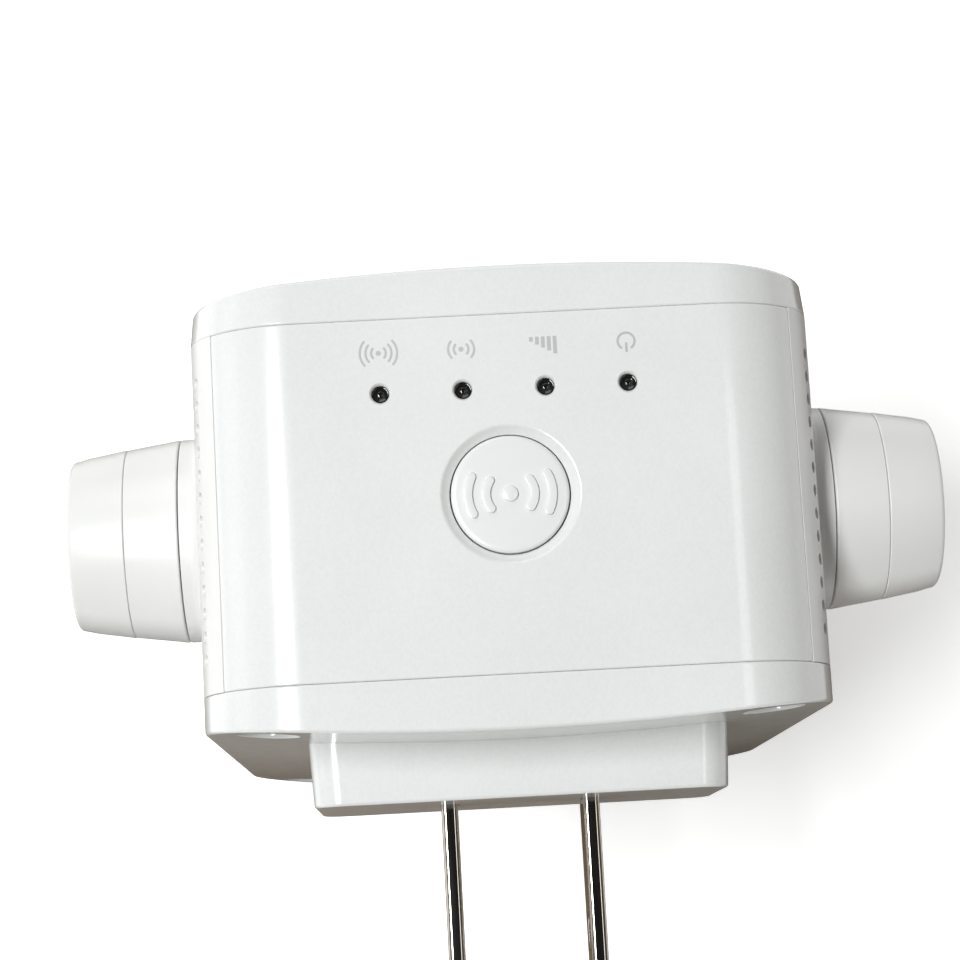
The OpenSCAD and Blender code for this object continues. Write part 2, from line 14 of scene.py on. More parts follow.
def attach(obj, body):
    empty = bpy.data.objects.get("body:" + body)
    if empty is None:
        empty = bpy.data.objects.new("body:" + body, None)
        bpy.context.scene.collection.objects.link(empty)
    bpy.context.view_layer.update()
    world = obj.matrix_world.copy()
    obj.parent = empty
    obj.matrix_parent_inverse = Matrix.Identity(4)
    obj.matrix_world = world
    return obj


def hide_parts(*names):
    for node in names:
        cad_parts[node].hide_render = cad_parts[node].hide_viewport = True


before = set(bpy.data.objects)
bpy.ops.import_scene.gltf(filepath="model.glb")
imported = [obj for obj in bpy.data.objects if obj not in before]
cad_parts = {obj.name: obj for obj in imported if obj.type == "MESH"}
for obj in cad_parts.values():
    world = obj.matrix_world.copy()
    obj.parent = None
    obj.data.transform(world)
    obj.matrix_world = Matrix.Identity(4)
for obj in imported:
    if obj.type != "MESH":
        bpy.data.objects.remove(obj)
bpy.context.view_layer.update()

MM = 0.001
TOP_Z = 23.0
MID_Z = -16.0
BODY_W = 54.0
BODY_H = 78.0
CORNER_R = 9.0
WALL = 2.0
FRONT_CREST = -44.6
FRONT_SEAM = -40.2
REAR_SEAM = -9.6
BACK_CREST = -5.0
FRONT_CROWN_R = 242.0
REAR_CROWN_R = 266.0
SEAM_GAP = 0.006
PANEL_ANGLE = 49.85
BUTTON_Y = -24.75
LIGHT_Y = -33.8
LIGHT_X = (-10.5, -3.5, 3.5, 10.5)
PIVOT_Y = -25.0
PIVOT_Z = 3.0
LEAN = math.radians(8)
TIP_REACH = 53.3
BLADE_X = 6.35


# ---- mesh helpers ------------------------------------------------------------


def new_object(name, verts, faces, weld=False):
    """Links a closed mesh made from vertices in millimetres, with its normals facing outwards."""
    mesh = bpy.data.meshes.new(name)
    mesh.from_pydata([Vector(v) * MM for v in verts], [], faces)
    bm = bmesh.new()
    bm.from_mesh(mesh)
    if weld:
        bmesh.ops.remove_doubles(bm, verts=bm.verts, dist=1e-7)
    bmesh.ops.recalc_face_normals(bm, faces=bm.faces)
    bm.to_mesh(mesh)
    bm.free()
    obj = bpy.data.objects.new(name, mesh)
    bpy.context.scene.collection.objects.link(obj)
    return obj


def shade(obj, material, smooth):
    """Gives an object one material and smooth shading that stays sharp above an angle."""
    obj.data.materials.clear()
    obj.data.materials.append(material)
    obj.data.shade_smooth()
    obj.data.set_sharp_from_angle(angle=math.radians(smooth))


def piece(name, verts, faces, body, material, replaces=(), smooth=50):
    """Makes an object from vertices in millimetres, parents it to its body's empty and hides the CAD
    parts it replaces.
    """
    obj = new_object(name, verts, faces, weld=True)
    shade(obj, material, smooth)
    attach(obj, body)
    if replaces:
        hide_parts(*replaces)
    return obj


def weighted(obj):
    """Adds face-weighted normals, so that flat faces stay flat next to small fillets."""
    mod = obj.modifiers.new("normals", "WEIGHTED_NORMAL")
    mod.keep_sharp = True
    mod.weight = 60


def loft(rings, start_cap=None, end_cap=None):
    """Quads between rings of equal length. A cap is "fan", "strips" or None."""
    n = len(rings[0])
    verts = [v for ring in rings for v in ring]
    faces = []
    for k in range(len(rings) - 1):
        a, b = k * n, (k + 1) * n
        for i in range(n):
            j = (i + 1) % n
            faces.append((a + i, a + j, b + j, b + i))
    for cap, base in ((start_cap, 0), (end_cap, (len(rings) - 1) * n)):
        if cap == "fan":
            faces.append(tuple(base + i for i in range(n)))
        elif cap == "strips":
            half = n // 2
            for i in range(half - 1):
                lo, hi = base + n - 1 - i, base + n - 2 - i
                faces.append((base + i, base + i + 1, hi, lo))
    return verts, faces


def lathe(profile, centre, axis="z", steps=96):
    """Revolves (radius, height) pairs about an axis through centre."""
    verts, faces = [], []
    rows = []
    for r, h in profile:
        row = []
        for i in range(steps if r > 1e-6 else 1):
            a = 2 * math.pi * i / steps
            u, v = r * math.cos(a), r * math.sin(a)
            local = {"z": (u, v, h), "x": (h, u, v), "y": (v, h, u)}[axis]
            row.append(len(verts))
            verts.append(tuple(centre[k] + local[k] for k in range(3)))
        rows.append(row)
    for a, b in zip(rows, rows[1:]):
        for i in range(steps):
            j = (i + 1) % steps
            if len(a) == 1 and len(b) == 1:
                continue
            if len(a) == 1:
                faces.append((a[0], b[i], b[j]))
            elif len(b) == 1:
                faces.append((a[i], b[0], a[j]))
            else:
                faces.append((a[i], b[i], b[j], a[j]))
    return verts, faces


def join(*parts):
    """One list of vertices and one of faces from several (verts, faces) pairs."""
    verts, faces = [], []
    for v, f in parts:
        base = len(verts)
        verts += v
        faces += [tuple(i + base for i in face) for face in f]
    return verts, faces


def arc_steps(count):
    """Pairs (1 - cos, sin) along a quarter circle, from (0, 0) to (1, 1)."""
    angles = [math.pi / 2 * k / count for k in range(count + 1)]
    return [(1 - math.cos(a), math.sin(a)) for a in angles]


def outline(inset, width=BODY_W, height=BODY_H, radius=CORNER_R, mid=MID_Z, arc=14, flat=10):
    """Rounded rectangle in X and Z: the upper half from left to right, then the lower back."""
    w, h = width / 2 - inset, height / 2 - inset
    r = max(radius - inset, 0.2)
    upper = []
    for k in range(arc + 1):
        a = math.pi - math.pi / 2 * k / arc
        upper.append((-w + r + r * math.cos(a), h - r + r * math.sin(a)))
    for k in range(1, flat):
        upper.append((-w + r + (2 * w - 2 * r) * k / flat, h))
    for k in range(arc + 1):
        a = math.pi / 2 - math.pi / 2 * k / arc
        upper.append((w - r + r * math.cos(a), h - r + r * math.sin(a)))
    lower = [(x, -z) for x, z in reversed(upper)]
    return [(x, mid + z) for x, z in upper + lower]


def boolean_cut(obj, verts, faces):
    """Cuts a closed shape, given in millimetres, out of an object's mesh."""
    cutter = new_object("cutter", verts, faces)
    mod = obj.modifiers.new("cut", "BOOLEAN")
    mod.operation = "DIFFERENCE"
    mod.solver = "EXACT"
    mod.object = cutter
    bpy.context.view_layer.update()
    graph = bpy.context.evaluated_depsgraph_get()
    result = bpy.data.meshes.new_from_object(obj.evaluated_get(graph))
    obj.modifiers.remove(mod)
    bpy.data.objects.remove(cutter)
    obj.data = result


# ---- materials -----------------------------------------------------------------


def find_node(material, kind):
    return next(n for n in material.node_tree.nodes if n.type == kind)


def base_material(name):
    material = bpy.data.materials.new(name)
    material.use_nodes = True
    nodes, links = material.node_tree.nodes, material.node_tree.links
    shader = find_node(material, "BSDF_PRINCIPLED")
    coords = nodes.new("ShaderNodeTexCoord")
    return material, nodes, links, shader, coords


def noise(nodes, links, coords, scale, detail=2.0, rough=0.5, kind="ShaderNodeTexNoise"):
    tex = nodes.new(kind)
    tex.inputs["Scale"].default_value = scale
    if kind == "ShaderNodeTexNoise":
        tex.inputs["Detail"].default_value = detail
        tex.inputs["Roughness"].default_value = rough
    links.new(coords.outputs["Object"], tex.inputs["Vector"])
    return tex


def ramp(nodes, links, source, stops):
    node = nodes.new("ShaderNodeValToRGB")
    band = node.color_ramp
    while len(band.elements) < len(stops):
        band.elements.new(0.5)
    for element, (at, colour) in zip(band.elements, stops):
        element.position = at
        element.color = (*colour, 1.0)
    links.new(source, node.inputs["Fac"])
    return node


def add_bump(nodes, links, shader, source, strength, distance, previous=None):
    bump = nodes.new("ShaderNodeBump")
    bump.inputs["Strength"].default_value = strength
    bump.inputs["Distance"].default_value = distance
    links.new(source, bump.inputs["Height"])
    if previous:
        links.new(previous.outputs["Normal"], bump.inputs["Normal"])
    links.new(bump.outputs["Normal"], shader.inputs["Normal"])
    return bump


def uneven_gloss(nodes, links, shader, source, low, high):
    """Lets a noise spread the roughness between two values."""
    spread_map = nodes.new("ShaderNodeMapRange")
    spread_map.inputs["To Min"].default_value = low
    spread_map.inputs["To Max"].default_value = high
    links.new(source, spread_map.inputs["Value"])
    links.new(spread_map.outputs["Result"], shader.inputs["Roughness"])


def moulded(name, colour, rough, fleck=0.0, grain=0.0, coat=0.0, spread=0.02):
    """Moulded plastic: slow tone drift, a fine fleck or grain, uneven gloss and a faint waviness."""
    material, nodes, links, shader, coords = base_material(name)
    drift = noise(nodes, links, coords, 60, 3)
    low = tuple(max(c * (1 - spread), 0) for c in colour)
    high = tuple(min(c * (1 + spread), 1) for c in colour)
    tone = ramp(nodes, links, drift.outputs["Fac"], ((0.35, low), (0.65, high)))
    colour_out = tone.outputs["Color"]
    if fleck:
        cells = noise(nodes, links, coords, 4200, kind="ShaderNodeTexVoronoi")
        mix = nodes.new("ShaderNodeMix")
        mix.data_type = "RGBA"
        mix.blend_type = "SOFT_LIGHT"
        mix.inputs["Factor"].default_value = fleck
        links.new(colour_out, mix.inputs[6])
        grey = ramp(nodes, links, cells.outputs["Color"],
                    ((0.2, (0.32,) * 3), (0.8, (0.68,) * 3)))
        links.new(grey.outputs["Color"], mix.inputs[7])
        colour_out = mix.outputs[2]
    links.new(colour_out, shader.inputs["Base Color"])
    gloss = noise(nodes, links, coords, 900, 4)
    uneven_gloss(nodes, links, shader, gloss.outputs["Fac"], rough * 0.85, rough * 1.2)
    shader.inputs["Coat Weight"].default_value = coat
    shader.inputs["Coat Roughness"].default_value = 0.06
    shader.inputs["IOR"].default_value = 1.5
    wave = noise(nodes, links, coords, 150, 1)
    bump = add_bump(nodes, links, shader, wave.outputs["Fac"], 0.06, 0.0002)
    if grain:
        fine = noise(nodes, links, coords, 5000, 2)
        add_bump(nodes, links, shader, fine.outputs["Fac"], grain, 0.00004, bump)
    return material


def metal(name, colour, rough, brush=(1, 1, 1)):
    """Plated or brushed metal with smeared colour and hairlines in its gloss and surface."""
    material, nodes, links, shader, coords = base_material(name)
    shader.inputs["Metallic"].default_value = 1.0
    mapping = nodes.new("ShaderNodeMapping")
    mapping.inputs["Scale"].default_value = brush
    links.new(coords.outputs["Object"], mapping.inputs["Vector"])
    hair = nodes.new("ShaderNodeTexNoise")
    hair.inputs["Scale"].default_value = 1500
    hair.inputs["Detail"].default_value = 4
    links.new(mapping.outputs["Vector"], hair.inputs["Vector"])
    smear = noise(nodes, links, coords, 300, 3)
    tone = ramp(nodes, links, smear.outputs["Fac"],
                ((0.3, tuple(c * 0.9 for c in colour)), (0.7, colour)))
    links.new(tone.outputs["Color"], shader.inputs["Base Color"])
    uneven_gloss(nodes, links, shader, hair.outputs["Fac"], rough * 0.6, rough * 1.5)
    add_bump(nodes, links, shader, hair.outputs["Fac"], 0.08, 0.00003)
    return material


def circuit_board(name, colour, trace):
    """Lacquered board with a fine lattice of tracks under the lacquer."""
    material, nodes, links, shader, coords = base_material(name)
    tracks = nodes.new("ShaderNodeTexBrick")
    tracks.inputs["Scale"].default_value = 260
    tracks.inputs["Mortar Size"].default_value = 0.03
    tracks.inputs["Color1"].default_value = (*colour, 1)
    tracks.inputs["Color2"].default_value = (*(c * 0.8 for c in colour), 1)
    tracks.inputs["Mortar"].default_value = (*trace, 1)
    turn = nodes.new("ShaderNodeMapping")
    turn.inputs["Rotation"].default_value = (math.pi / 2, 0, 0)
    links.new(coords.outputs["Object"], turn.inputs["Vector"])
    links.new(turn.outputs["Vector"], tracks.inputs["Vector"])
    links.new(tracks.outputs["Color"], shader.inputs["Base Color"])
    shader.inputs["Roughness"].default_value = 0.35
    add_bump(nodes, links, shader, tracks.outputs["Fac"], 0.2, 0.00003)
    return material


GLOSS_WHITE = moulded("white_gloss", (0.70, 0.71, 0.705), 0.2, fleck=0.14, coat=0.35)
SATIN_WHITE = moulded("white_satin", (0.72, 0.72, 0.71), 0.33, grain=0.15)
BUTTON_WHITE = moulded("button_white", (0.70, 0.71, 0.705), 0.24, coat=0.2)
PRINT_GREY = moulded("print_grey", (0.43, 0.43, 0.435), 0.45, spread=0.06)
SMOKED = moulded("smoked_lens", (0.008, 0.0077, 0.007), 0.06, coat=0.3)
BLACK = moulded("black_plastic", (0.02, 0.02, 0.022), 0.45, grain=0.3)
NICKEL = metal("nickel", (0.62, 0.58, 0.52), 0.09, brush=(1, 0.05, 1))
STEEL = metal("steel", (0.62, 0.62, 0.64), 0.3)
TIN = metal("tin", (0.72, 0.73, 0.74), 0.35, brush=(1, 1, 0.05))
GOLD = metal("gold", (0.9, 0.68, 0.3), 0.22)
ALUMINIUM = metal("aluminium", (0.78, 0.79, 0.8), 0.3, brush=(1, 1, 0.05))

NODE_MATERIALS = {
    "front_cover": GLOSS_WHITE, "top_panel": GLOSS_WHITE, "body_sleeve": SATIN_WHITE,
    "rear_cover": GLOSS_WHITE, "plug_block": SATIN_WHITE, "pairing_button": BUTTON_WHITE,
    "left_blade": NICKEL, "right_blade": NICKEL,
    "rear_screws": STEEL, "main_board_screws": STEEL, "power_board_screws": STEEL,
    "left_retainer": STEEL, "right_retainer": STEEL, "left_washer": STEEL, "right_washer": STEEL,
    "processor_shield": TIN, "radio_shield": TIN, "crystal": TIN, "heat_sink": ALUMINIUM,
    "light_guide": SMOKED, "ethernet_contacts": GOLD, "coax_sockets": GOLD,
    "left_antenna_inner": SATIN_WHITE, "left_antenna_outer": SATIN_WHITE,
    "right_antenna_inner": SATIN_WHITE, "right_antenna_outer": SATIN_WHITE,
    "status_lights": moulded("lamp", (0.85, 0.83, 0.7), 0.3),
    "thermal_pad": moulded("pad", (0.55, 0.6, 0.66), 0.8, grain=0.5),
    "main_board": circuit_board("board_green", (0.02, 0.16, 0.06), (0.1, 0.3, 0.12)),
    "power_board": circuit_board("board_tan", (0.45, 0.32, 0.16), (0.3, 0.22, 0.12)),
    "transformer_core": moulded("ferrite", (0.06, 0.06, 0.065), 0.7, grain=0.5),
    "transformer_winding": moulded("tape", (0.75, 0.52, 0.05), 0.3),
    "fuse": moulded("fuse", (0.25, 0.09, 0.03), 0.4),
    "safety_capacitor": moulded("disc", (0.03, 0.12, 0.4), 0.35),
    "opto_coupler": moulded("white_block", (0.75, 0.75, 0.7), 0.5),
    "insulating_sheet": moulded("film", (0.7, 0.67, 0.45), 0.25),
    "input_capacitors": moulded("sleeve_blue", (0.02, 0.03, 0.08), 0.3),
    "output_capacitor": moulded("sleeve_green", (0.02, 0.08, 0.04), 0.3),
}
for node in ("left_antenna_lead", "right_antenna_lead", "left_coax", "right_coax"):
    NODE_MATERIALS[node] = moulded("jacket_" + node, (0.12, 0.12, 0.13), 0.5)
for node in ("left_radiator", "right_radiator"):
    NODE_MATERIALS[node] = NODE_MATERIALS["main_board"]

for name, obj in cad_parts.items():
    shade(obj, NODE_MATERIALS.get(name, BLACK), 35)

SLEEVE_BEVEL = 0.08
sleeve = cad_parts["body_sleeve"]
bevel = sleeve.modifiers.new("edge", "BEVEL")
bevel.width = SLEEVE_BEVEL * MM
bevel.segments = 3
bevel.limit_method = "ANGLE"
bevel.angle_limit = math.radians(50)
weighted(sleeve)


# ---- covers --------------------------------------------------------------------


COVER_LIP = 0.18
SCREW_X, SCREW_Z = 21.5, (18.2, -50.2)
RECESS_FLOOR_Y = -7.9


def cover(name, seam, crest, crown_r, edge_r, draft, replaces):
    """A crowned end cover: rounded rim at the seam, drafted sides, filleted crowned face."""
    sign = -1 if crest < seam else 1

    def face_y(x, back=0.0):
        return crest - sign * (crown_r - math.sqrt(crown_r**2 - x * x)) - sign * back

    def ring(inset, y):
        return [(x, y(x) if callable(y) else y, z) for x, z in outline(inset)]

    lip = sign * COVER_LIP
    rings = [ring(WALL, lambda x: face_y(x, WALL)), ring(WALL, seam)]
    rings += [ring(COVER_LIP - COVER_LIP * v, seam + lip * u) for u, v in arc_steps(3)]
    for t in (0.3, 0.6):
        rings.append(ring(draft * t,
                          lambda x, t=t: seam + lip + (face_y(x, edge_r) - seam - lip) * t))
    for u, v in arc_steps(6):
        rings.append(ring(draft + edge_r * u, lambda x, v=v: face_y(x, edge_r * (1 - v))))
    verts, faces = loft(rings, "strips", "strips")
    return piece(name, verts, faces, "housing", GLOSS_WHITE, replaces, 60)


front = cover("front_cover_shell", FRONT_SEAM - SEAM_GAP, FRONT_CREST, FRONT_CROWN_R, 0.4, 0.25,
              ["front_cover"])
weighted(front)

rear = cover("rear_cover_shell", REAR_SEAM + SEAM_GAP, BACK_CREST, REAR_CROWN_R, 0.3, 0.0,
             ["rear_cover"])
recess = [(0, 0), (2.6, 0), (2.6, 1.75), (2.75, 1.95), (3.2, 3.2), (0, 3.2)]
for x in (-SCREW_X, SCREW_X):
    for z in SCREW_Z:
        boolean_cut(rear, *lathe(recess, (x, RECESS_FLOOR_Y, z), "y", 48))
shade(rear, GLOSS_WHITE, 40)
weighted(rear)


# ---- top panel -----------------------------------------------------------------


PANEL_RIM = 0.16


def panel_profile(inset, trim):
    """Half section of the panel in X and Z, as one open line from left to right."""
    r = CORNER_R - inset
    arc_x, arc_z = BODY_W / 2 - CORNER_R, TOP_Z - CORNER_R
    limit = math.radians(PANEL_ANGLE) - trim / r
    line = []
    for k in range(13):
        a = limit * (1 - k / 12)
        line.append((-arc_x - r * math.sin(a), arc_z + r * math.cos(a)))
    for k in range(1, 12):
        line.append((-arc_x + 2 * arc_x * k / 12, arc_z + r))
    for k in range(13):
        a = limit * k / 12
        line.append((arc_x + r * math.sin(a), arc_z + r * math.cos(a)))
    return line


def panel_ring(y, trim):
    """Closed section of the panel at depth y, with its long edges rounded off."""
    outer = panel_profile(trim, PANEL_RIM + trim)
    inner = list(reversed(panel_profile(WALL, trim)))
    side_out = panel_profile(PANEL_RIM * 0.3 + trim, PANEL_RIM * 0.3 + trim)
    side_in = panel_profile(PANEL_RIM + trim, trim)
    line = [side_in[0], side_out[0]] + outer + [side_out[-1], side_in[-1]] + inner
    return [(x, y, z) for x, z in line]


ys = [(FRONT_SEAM + PANEL_RIM * u, PANEL_RIM * (1 - v)) for u, v in arc_steps(3)]
ys += [(FRONT_SEAM + (REAR_SEAM - FRONT_SEAM) * t, 0) for t in (0.25, 0.5, 0.75)]
ys += [(REAR_SEAM - PANEL_RIM * u, PANEL_RIM * (1 - v)) for u, v in reversed(arc_steps(3))]
verts, faces = loft([panel_ring(y, t) for y, t in ys], "fan", "fan")
panel = piece("top_panel_shell", verts, faces, "housing", GLOSS_WHITE, ["top_panel"], 60)
dish = [(0, -6), (5.12, -6), (5.12, -0.62), (5.2, -0.52), (5.36, -0.44), (5.72, -0.13),
        (5.84, -0.045), (5.98, -0.008), (6.15, 0.01), (6.15, 2), (0, 2)]
boolean_cut(panel, *lathe(dish, (0, BUTTON_Y, TOP_Z), steps=128))
well = [(0, -6), (0.74, -6), (0.74, -0.3), (0.78, -0.2), (0.88, -0.05), (0.95, 0.004),
        (0.95, 2), (0, 2)]
for x in LIGHT_X:
    boolean_cut(panel, *lathe(well, (x, LIGHT_Y, TOP_Z), steps=48))
shade(panel, GLOSS_WHITE, 32)
weighted(panel)


# ---- pairing button --------------------------------------------------------------

cap = [(0, 20.9), (5.0, 20.9), (5.0, 22.52), (4.97, 22.63), (4.89, 22.71), (4.74, 22.76),
       (4.5, 22.78), (2.5, 22.78), (0, 22.78)]
foot = [(0, 17.0), (1.5, 17.0), (1.6, 17.1), (1.6, 21.2), (0, 21.2)]
skirt = [(3.8, 19.7), (6.2, 19.7), (6.2, 20.9), (3.8, 20.9), (3.8, 19.7)]
turned = [lathe(profile, (0, BUTTON_Y, 0), steps=steps)
          for profile, steps in ((cap, 128), (foot, 32), (skirt, 96))]
verts, faces = join(*turned)
piece("pairing_button_cap", verts, faces, "pairing_button", BUTTON_WHITE, ["pairing_button"], 45)
ROUND_END = 7


def rounded_arc(cx, cy, radius, start, end, width, z0, z1, soft, steps=24):
    """A raised arc from height z0 to z1, with a rounded top edge and ROUND_END points per end."""
    centre_line = []
    for k in range(steps + 1):
        a = start + (end - start) * k / steps
        centre_line.append((cx + radius * math.cos(a), cy + radius * math.sin(a), a))

    def loop(half, z):
        pts = []
        for x, y, a in centre_line:
            pts.append((x + half * math.cos(a), y + half * math.sin(a), z))
        x, y, a = centre_line[-1]
        for k in range(1, ROUND_END + 1):
            b = a + math.pi * k / (ROUND_END + 1)
            pts.append((x + half * math.cos(b), y + half * math.sin(b), z))
        for x, y, a in reversed(centre_line):
            pts.append((x - half * math.cos(a), y - half * math.sin(a), z))
        x, y, a = centre_line[0]
        for k in range(1, ROUND_END + 1):
            b = a + math.pi + math.pi * k / (ROUND_END + 1)
            pts.append((x + half * math.cos(b), y + half * math.sin(b), z))
        return pts

    half = width / 2
    rings = [loop(half, z0), loop(half, z1 - soft)]
    rings += [loop(half - soft * u, z1 - soft + soft * v) for u, v in arc_steps(3)[1:]]
    verts, faces = loft(rings)
    n = len(rings[0])
    back = steps + 1 + ROUND_END
    for base in (0, (len(rings) - 1) * n):
        for i in range(steps):
            other = base + back + (steps - i)
            faces.append((base + i, base + i + 1, other - 1, other))
        faces.append(tuple(base + i for i in range(steps, back + 1)))
        faces.append((base,) + tuple(base + i for i in range(n - 1, back + steps - 1, -1)))
    return verts, faces


def wave_mark(cx, cy, z0, z1, unit, soft):
    """A raised dot of radius unit with two arcs on each side."""
    parts = [lathe([(0, z0), (unit, z0), (unit, z1 - soft), (unit - soft * 0.3, z1 - soft * 0.3),
                    (unit - soft, z1), (0, z1)], (cx, cy, 0), steps=32)]
    for r, spread in ((3.1 * unit, 0.62), (5.4 * unit, 0.46)):
        for turn in (0, math.pi):
            parts.append(rounded_arc(cx, cy, r, turn - spread, turn + spread, unit * 1.15,
                                     z0, z1, soft))
    return join(*parts)


verts, faces = wave_mark(0, BUTTON_Y, 22.72, 23.0, 0.66, 0.07)
piece("pairing_mark", verts, faces, "pairing_button", BUTTON_WHITE, (), 45)


# ---- indicator lights --------------------------------------------------------------

lens = [(0, 17.2), (0.73, 17.2), (0.73, 22.6), (0.7, 22.64), (0.62, 22.64), (0.52, 22.56),
        (0.4, 22.52), (0.34, 22.56), (0.28, 22.62), (0.2, 22.65), (0.1, 22.66), (0, 22.66)]
bar = outline(0, 24.6, 2.6, 0.4, LIGHT_Y, 4, 2)
bar_rings = [[(x, y, z) for x, y in bar] for z in (19.8, 20.9)]
parts = [lathe(lens, (x, LIGHT_Y, 0), steps=40) for x in LIGHT_X]
verts, faces = join(loft(bar_rings, "strips", "strips"), *parts)
piece("light_lenses", verts, faces, "housing", SMOKED, ["light_guide"], 45)

# Small printed marks beside the lights: power, signal bars, two waves and three waves
PRINT_Z0, PRINT_Z1, MARK_Y = TOP_Z - 0.02, TOP_Z + 0.012, -37.3
marks = []


def bar_mark(x0, x1, y0, y1):
    ring = [(x0, y0), (x1, y0), (x1, y1), (x0, y1)]
    return loft([[(x, y, z) for x, y in ring] for z in (PRINT_Z0, PRINT_Z1)], "fan", "fan")


def arc_mark(cx, cy, radius, start, end, width=0.2):
    return rounded_arc(cx, cy, radius, math.radians(start), math.radians(end), width, PRINT_Z0,
                       PRINT_Z1, 0.005)


power_x, signal_x, two_waves_x, three_waves_x = LIGHT_X
marks.append(arc_mark(power_x, MARK_Y, 0.72, 128, 412))
marks.append(bar_mark(power_x - 0.1, power_x + 0.1, MARK_Y + 0.12, MARK_Y + 0.95))
for k in range(5):
    left = signal_x + 1.2 - k * 0.5
    marks.append(bar_mark(left - 0.32, left, MARK_Y - 0.75, MARK_Y - 0.35 + 0.28 * k))
for centre, radii in ((two_waves_x, (0.62, 1.1)), (three_waves_x, (0.62, 1.1, 1.58))):
    marks.append(lathe([(0, PRINT_Z0), (0.22, PRINT_Z0), (0.22, PRINT_Z1), (0, PRINT_Z1)],
                       (centre, MARK_Y, 0), steps=20))
    for radius in radii:
        for facing in (0, 180):
            marks.append(arc_mark(centre, MARK_Y, radius, facing - 40, facing + 40))
verts, faces = join(*marks)
piece("printed_marks", verts, faces, "housing", PRINT_GREY, (), 45)


# ---- plug block ----------------------------------------------------------------------


BLOCK_W, BLOCK_H, BLOCK_R = 36.4, 21, 2.6
BLOCK_EDGE = 0.28


def block_ring(y, inset):
    """Outline of the block at y. It is smallest at the plug face, where y is 0."""
    grow = 0.35 * min(-y / 7.0, 1.0)
    return [(x, y, z) for x, z in
            outline(inset, BLOCK_W + 2 * grow, BLOCK_H + 2 * grow, BLOCK_R, 0, 8, 6)]


rings = [block_ring(-8.8, 0), block_ring(-5, 0), block_ring(-2.5, 0)]
rings += [block_ring(-BLOCK_EDGE + BLOCK_EDGE * v, BLOCK_EDGE * u) for u, v in arc_steps(5)]
verts, faces = loft(rings, "strips", "strips")
block = piece("plug_block_body", verts, faces, "housing", GLOSS_WHITE, ["plug_block"], 60)
slot_ring = outline(0, 1.62, 6.5, 0.5, 0, 4, 1)
for side in (-1, 1):
    boolean_cut(block, *loft([[(x + side * BLADE_X, y, z) for x, z in slot_ring]
                              for y in (-12, 1)], "strips", "strips"))
shade(block, GLOSS_WHITE, 40)
weighted(block)


# ---- blades ------------------------------------------------------------------------------


def blade_ring(y, half_t, half_w, fillet):
    """Rounded section of a blade in X and Z at a distance y beyond the plug face."""
    r = min(fillet, half_t * 0.98)
    pts = []
    for cx, cz, start in ((1, 1, 0), (-1, 1, 90), (-1, -1, 180), (1, -1, 270)):
        for k in range(7):
            a = math.radians(start + 15 * k)
            pts.append((cx * (half_t - r) + r * math.cos(a), y,
                        cz * (half_w - r) + r * math.sin(a)))
    return pts


HALF_T, HALF_W, BLADE_TIP, EYE_Y = 0.75, 3.175, 17.5, 11.9
for side, word in ((-1, "left"), (1, "right")):
    rows = [(y, HALF_T, HALF_W, 0.42) for y in (-8.9, -2, 4, 10, BLADE_TIP - 1.6)]
    rows += [(BLADE_TIP - 1.1, HALF_T, HALF_W - 0.45, 0.4),
             (BLADE_TIP - 0.45, HALF_T - 0.05, HALF_W - 1.1, 0.38),
             (BLADE_TIP - 0.12, HALF_T - 0.22, HALF_W - 1.45, 0.3),
             (BLADE_TIP, HALF_T - 0.4, HALF_W - 1.65, 0.2)]
    plate = loft([blade_ring(*row) for row in rows], "fan", "fan")
    tail = loft([blade_ring(y, HALF_T, 1.5, 0.2) for y in (-14.2, -8.5)], "fan", "fan")
    verts, faces = join(plate, tail)
    verts = [(x + side * BLADE_X, y, z) for x, y, z in verts]
    blade = piece(f"{word}_blade_plate", verts, faces, "housing", NICKEL, [f"{word}_blade"], 50)
    eye = [(0, -2), (1.85, -2), (1.85, -0.75), (1.66, -0.62), (1.6, -0.45), (1.6, 0.45),
           (1.66, 0.62), (1.85, 0.75), (1.85, 2), (0, 2)]
    boolean_cut(blade, *lathe(eye, (side * BLADE_X, EYE_Y, 0), "x", 40))
    shade(blade, NICKEL, 40)
    weighted(blade)


# ---- antennas --------------------------------------------------------------------------


def paddle_outline(hub, tip, steps=40):
    """Outline in Y and Z of a paddle hanging from the pivot, hub radius and tip radius given."""
    turn = math.asin((hub - tip) / TIP_REACH)
    pts = []
    for k in range(steps + 1):
        a = -turn + (math.pi + 2 * turn) * k / steps
        pts.append((hub * math.cos(a), hub * math.sin(a)))
    for k in range(steps + 1):
        a = math.pi + turn + (math.pi - 2 * turn) * k / steps
        pts.append((tip * math.cos(a), -TIP_REACH + tip * math.sin(a)))
    return pts


def paddle(rows):
    """Closed paddle through (x, hub radius) rows, with its tip smaller by DROP throughout."""
    rings = [[(x, y, z) for y, z in paddle_outline(hub, hub - DROP)] for x, hub in rows]
    return loft(rings, "fan", "fan")


def place_antenna(side, verts):
    """Moves a paddle drawn hanging from the pivot to its side and its lean at rest."""
    c, s = math.cos(-LEAN), math.sin(-LEAN)
    out = []
    for x, y, z in verts:
        out.append((side * x, PIVOT_Y + y * c - z * s, PIVOT_Z + y * s + z * c))
    return out


IN_X, SPLIT_X, OUT_X = 28.96, 33.8, 38.95
HUB, HUB_MID, HUB_OUT = 9.2, 8.54, 7.7
DROP = 2.5
SPLIT_GAP = 0.01
CROWN_STEP = 0.9


